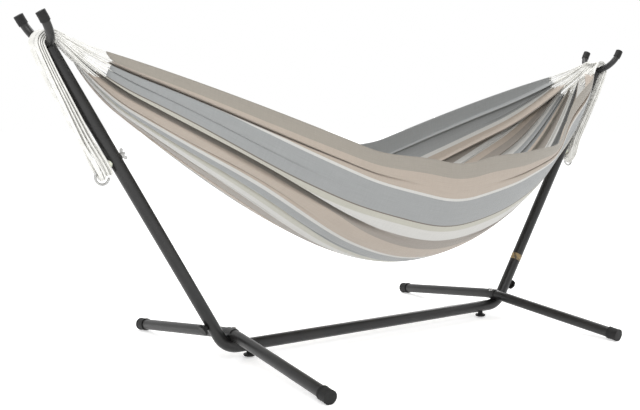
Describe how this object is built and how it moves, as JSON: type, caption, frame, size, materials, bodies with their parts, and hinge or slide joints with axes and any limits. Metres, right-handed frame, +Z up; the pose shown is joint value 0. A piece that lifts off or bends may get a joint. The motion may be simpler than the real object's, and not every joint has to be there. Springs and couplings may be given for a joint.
{
  "type": "hammock on stand",
  "caption": "Striped cotton cord-harness hammock on a knock-down steel tube stand with crossed feet, leaning uprights, forked tops and adjustable hooks.",
  "frame": {"origin": "middle of the stand on the floor, between the feet", "axes": "+X along the base beam, +Y across it, +Z up"},
  "size_m": [2.594, 1.168, 1.0943],
  "materials": {
    "powder_coat": "satin black-brown powder coat with a fine grain",
    "cap_rubber": "matt black rubber",
    "knob_plastic": "moulded black plastic",
    "zinc_steel": "zinc-plated",
    "galvanised": "galvanised, slightly dull",
    "spacer_plastic": "yellowed white nylon",
    "blank_label": "faded tan film, blank",
    "striped_cotton": "woven cotton in grey, sand, cream and white stripes",
    "cotton_cord": "natural white twisted cotton"
  },
  "bodies": {
    "stand": {"base_beam": "powder_coat", "elbow_left": "powder_coat", "elbow_right": "powder_coat", "upright_socket_left": "powder_coat", "upright_socket_right": "powder_coat", "upright_left": "powder_coat", "upright_right": "powder_coat", "fork_left": "powder_coat", "fork_right": "powder_coat", "fork_cap_left_front": "cap_rubber", "fork_cap_left_back": "cap_rubber", "fork_cap_right_front": "cap_rubber", "fork_cap_right_back": "cap_rubber", "foot_left": "powder_coat", "foot_right": "powder_coat", "foot_cap_left_front": "cap_rubber", "foot_cap_left_back": "cap_rubber", "foot_cap_right_front": "cap_rubber", "foot_cap_right_back": "cap_rubber", "foot_saddle_left": "powder_coat", "foot_saddle_right": "powder_coat", "saddle_bolts": "zinc_steel", "saddle_nuts": "zinc_steel", "knob_nuts": "zinc_steel", "hook_left": "galvanised", "hook_right": "galvanised", "hook_spacer_left": "spacer_plastic", "hook_spacer_right": "spacer_plastic", "hook_washers": "galvanised", "label_band": "blank_label", "tail_cords_left": "cotton_cord", "tail_cords_right": "cotton_cord", "end_loop_left": "cotton_cord", "end_loop_right": "cotton_cord"},
    "left_upright_knob": {"upright_knob_left": "knob_plastic", "upright_screw_left": "zinc_steel"},
    "left_beam_knob": {"beam_knob_left": "knob_plastic", "beam_screw_left": "zinc_steel"},
    "left_wing_nut": {"wing_nut_left": "galvanised"},
    "right_upright_knob": {"upright_knob_right": "knob_plastic", "upright_screw_right": "zinc_steel"},
    "right_beam_knob": {"beam_knob_right": "knob_plastic", "beam_screw_right": "zinc_steel"},
    "right_wing_nut": {"wing_nut_right": "galvanised"},
    "hammock": {"hammock_bed": "striped_cotton", "fan_cords_left": "cotton_cord", "fan_cords_right": "cotton_cord"}
  },
  "joints": [
    {"name": "hammock_swing", "type": "hinge", "parent": "stand", "child": "hammock", "pos_m": [0, 0, 1.028], "axis": [1, 0, 0], "range_deg": [-22, 22]},
    {"name": "left_upright_knob_turn", "type": "hinge", "parent": "stand", "child": "left_upright_knob", "pos_m": [-0.71825, 0, 0.12236], "axis": [-0.8526, 0, -0.5225], "continuous": true},
    {"name": "left_beam_knob_turn", "type": "hinge", "parent": "stand", "child": "left_beam_knob", "pos_m": [-0.553, 0, 0.02366], "axis": [0, 0, -1], "continuous": true},
    {"name": "left_wing_nut_turn", "type": "hinge", "parent": "stand", "child": "left_wing_nut", "pos_m": [-1.00839, 0, 0.68579], "axis": [-0.8526, 0, -0.5225], "continuous": true},
    {"name": "right_upright_knob_turn", "type": "hinge", "parent": "stand", "child": "right_upright_knob", "pos_m": [0.71825, 0, 0.12236], "axis": [0.8526, 0, -0.5225], "continuous": true},
    {"name": "right_beam_knob_turn", "type": "hinge", "parent": "stand", "child": "right_beam_knob", "pos_m": [0.553, 0, 0.02366], "axis": [0, 0, -1], "continuous": true},
    {"name": "right_wing_nut_turn", "type": "hinge", "parent": "stand", "child": "right_wing_nut", "pos_m": [1.00839, 0, 0.68579], "axis": [0.8526, 0, -0.5225], "continuous": true}
  ]
}
